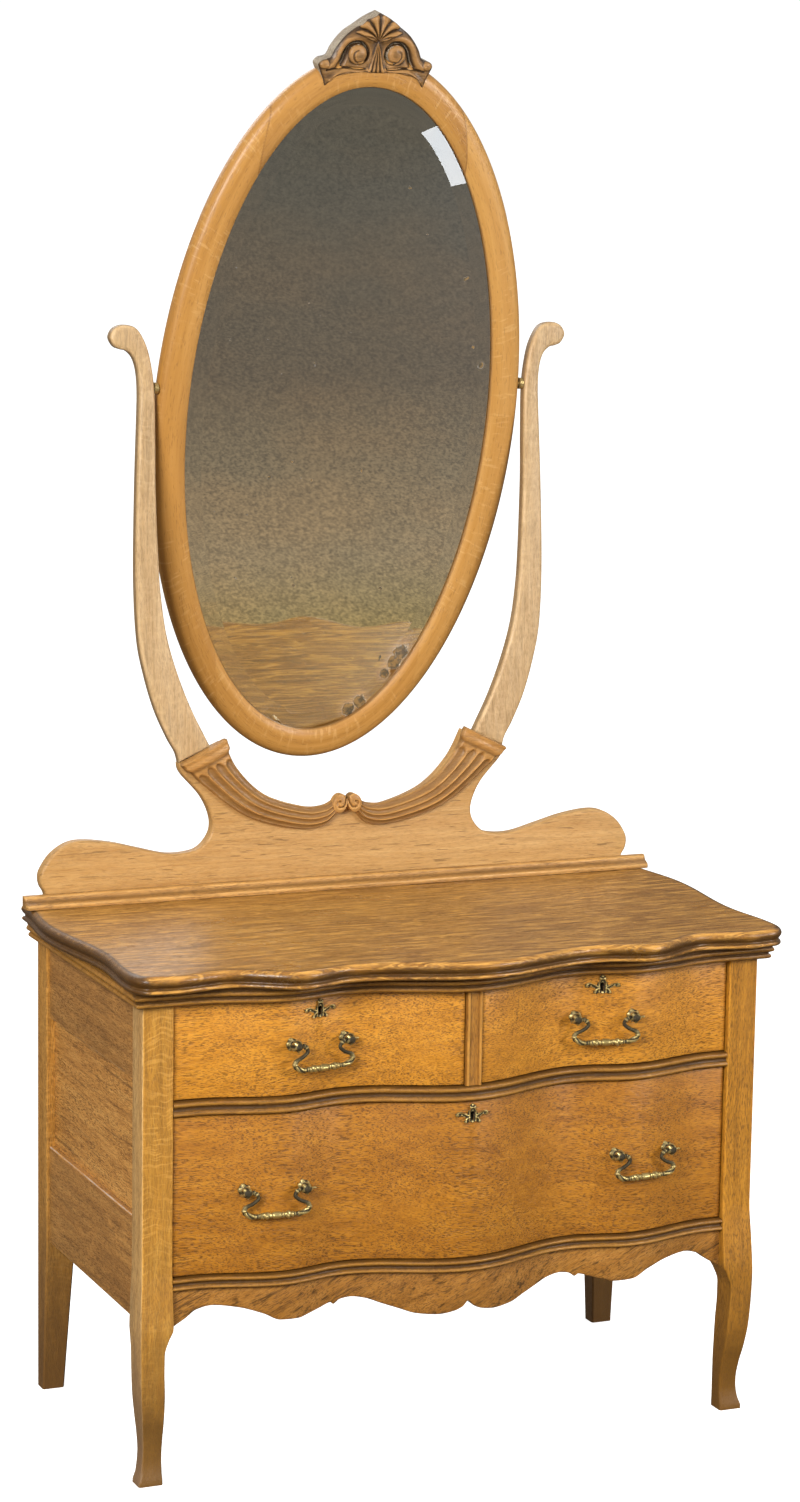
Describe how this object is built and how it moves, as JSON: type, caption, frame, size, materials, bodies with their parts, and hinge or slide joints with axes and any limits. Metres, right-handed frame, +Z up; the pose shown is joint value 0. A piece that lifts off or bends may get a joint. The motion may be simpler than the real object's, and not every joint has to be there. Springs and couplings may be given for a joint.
{
  "type": "dresser with mirror",
  "caption": "Serpentine-front oak dresser on cabriole front legs, with brass bail handles and an oval mirror that tilts between the arms of a harp stand.",
  "frame": {"origin": "on the floor, midway along the overall width and the overall depth", "axes": "+X to the right as seen from the front, +Y to the back, +Z up"},
  "size_m": [0.9498, 0.6692, 1.8961],
  "materials": {
    "oak_pale": "satin",
    "oak_golden": "satin",
    "oak_brown": "satin",
    "plain_wood": "matt",
    "brass": "aged",
    "steel": "satin",
    "silvered_glass": "polished"
  },
  "bodies": {
    "case": {"post_front_left": "oak_pale", "post_back_left": "oak_pale", "side_rail_upper_left": "oak_golden", "side_panel_left": "oak_golden", "side_rail_lower_left": "oak_golden", "post_front_right": "oak_pale", "post_back_right": "oak_pale", "side_rail_upper_right": "oak_golden", "side_panel_right": "oak_golden", "side_rail_lower_right": "oak_golden", "back_panel": "plain_wood", "top_board": "oak_brown", "top_moulding": "oak_brown", "middle_rail": "oak_brown", "lower_rail": "oak_brown", "centre_stile": "oak_brown", "apron": "oak_golden", "runner_frame_upper": "plain_wood", "runner_frame_lower": "plain_wood", "harp_board": "oak_pale", "base_moulding": "oak_pale", "fluted_carving": "oak_pale", "arm_left": "oak_pale", "arm_right": "oak_pale", "pivot_left": "brass", "pivot_right": "brass"},
    "drawer_upper_left": {"drawer_front_upper_left": "oak_golden", "drawer_box_upper_left": "plain_wood", "drawer_bottom_upper_left": "plain_wood", "lock_case_upper_left": "steel", "escutcheon_upper_left": "brass", "handle_post_upper_left_left": "brass", "handle_post_upper_left_right": "brass"},
    "drawer_upper_right": {"drawer_front_upper_right": "oak_golden", "drawer_box_upper_right": "plain_wood", "drawer_bottom_upper_right": "plain_wood", "lock_case_upper_right": "steel", "escutcheon_upper_right": "brass", "handle_post_upper_right_left": "brass", "handle_post_upper_right_right": "brass"},
    "drawer_lower": {"drawer_front_lower": "oak_golden", "drawer_box_lower": "plain_wood", "drawer_bottom_lower": "plain_wood", "lock_case_lower": "steel", "escutcheon_lower": "brass", "handle_post_lower_left_left": "brass", "handle_post_lower_left_right": "brass", "handle_post_lower_right_left": "brass", "handle_post_lower_right_right": "brass"},
    "lock_bolt_upper_left": {"lock_bolt_upper_left": "brass"},
    "lock_bolt_upper_right": {"lock_bolt_upper_right": "brass"},
    "lock_bolt_lower": {"lock_bolt_lower": "brass"},
    "bail_upper_left": {"bail_upper_left": "brass"},
    "bail_upper_right": {"bail_upper_right": "brass"},
    "bail_lower_left": {"bail_lower_left": "brass"},
    "bail_lower_right": {"bail_lower_right": "brass"},
    "mirror": {"mirror_frame": "oak_pale", "mirror_glass": "silvered_glass", "mirror_backboard": "plain_wood", "crest": "oak_pale"}
  },
  "joints": [
    {"name": "drawer_upper_left_slide", "type": "slide", "parent": "case", "child": "drawer_upper_left", "axis": [0, -1, 0], "range_m": [0, 0.3]},
    {"name": "drawer_upper_right_slide", "type": "slide", "parent": "case", "child": "drawer_upper_right", "axis": [0, -1, 0], "range_m": [0, 0.3]},
    {"name": "drawer_lower_slide", "type": "slide", "parent": "case", "child": "drawer_lower", "axis": [0, -1, 0], "range_m": [0, 0.3]},
    {"name": "lock_bolt_upper_left_slide", "type": "slide", "parent": "drawer_upper_left", "child": "lock_bolt_upper_left", "axis": [0, 0, 1], "range_m": [0, 0.009]},
    {"name": "lock_bolt_upper_right_slide", "type": "slide", "parent": "drawer_upper_right", "child": "lock_bolt_upper_right", "axis": [0, 0, 1], "range_m": [0, 0.009]},
    {"name": "lock_bolt_lower_slide", "type": "slide", "parent": "drawer_lower", "child": "lock_bolt_lower", "axis": [0, 0, 1], "range_m": [0, 0.009]},
    {"name": "bail_upper_left_hinge", "type": "hinge", "parent": "drawer_upper_left", "child": "bail_upper_left", "pos_m": [-0.20187, -0.26274, 0.58], "axis": [-0.9845, -0.1756, 0], "range_deg": [0, 105]},
    {"name": "bail_upper_right_hinge", "type": "hinge", "parent": "drawer_upper_right", "child": "bail_upper_right", "pos_m": [0.20187, -0.26274, 0.58], "axis": [-0.9845, 0.1756, 0], "range_deg": [0, 105]},
    {"name": "bail_lower_left_hinge", "type": "hinge", "parent": "drawer_lower", "child": "bail_lower_left", "pos_m": [-0.26512, -0.26406, 0.39], "axis": [-0.9972, 0.0745, 0], "range_deg": [0, 105]},
    {"name": "bail_lower_right_hinge", "type": "hinge", "parent": "drawer_lower", "child": "bail_lower_right", "pos_m": [0.26512, -0.26406, 0.39], "axis": [-0.9972, -0.0745, 0], "range_deg": [0, 105]},
    {"name": "mirror_tilt", "type": "hinge", "parent": "case", "child": "mirror", "pos_m": [0, 0.20386, 1.388], "axis": [1, 0, 0], "range_deg": [-32, 12]}
  ]
}
